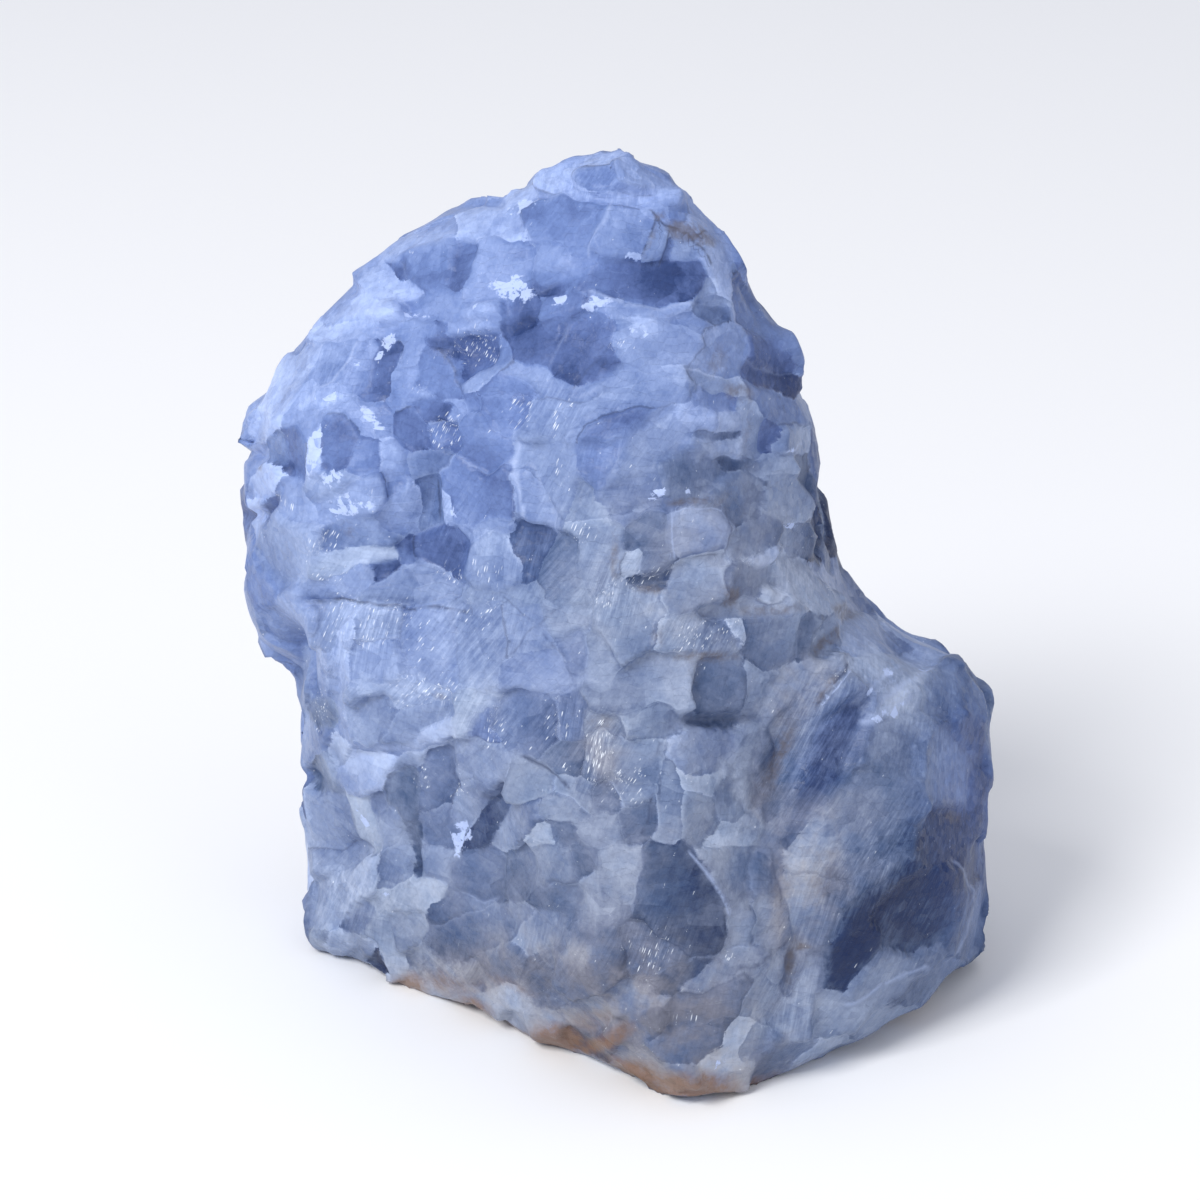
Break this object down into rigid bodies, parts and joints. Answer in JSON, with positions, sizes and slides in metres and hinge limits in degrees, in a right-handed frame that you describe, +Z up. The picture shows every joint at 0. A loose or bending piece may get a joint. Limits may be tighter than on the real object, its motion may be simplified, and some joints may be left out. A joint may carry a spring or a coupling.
{
  "type": "blue calcite specimen",
  "caption": "Rough lump of pale blue calcite: a leaning spire on a broad base with a rounded boss, standing on a flat spot.",
  "frame": {"origin": "on the surface that the stone stands on, under the middle of its box", "axes": "+Z up, +Y from the pictured front to the back, +X to the viewer's right"},
  "size_m": [0.1092, 0.09, 0.125],
  "materials": {
    "calcite": "satin"
  },
  "bodies": {
    "root": {"calcite_lump": "calcite"}
  },
  "joints": []
}
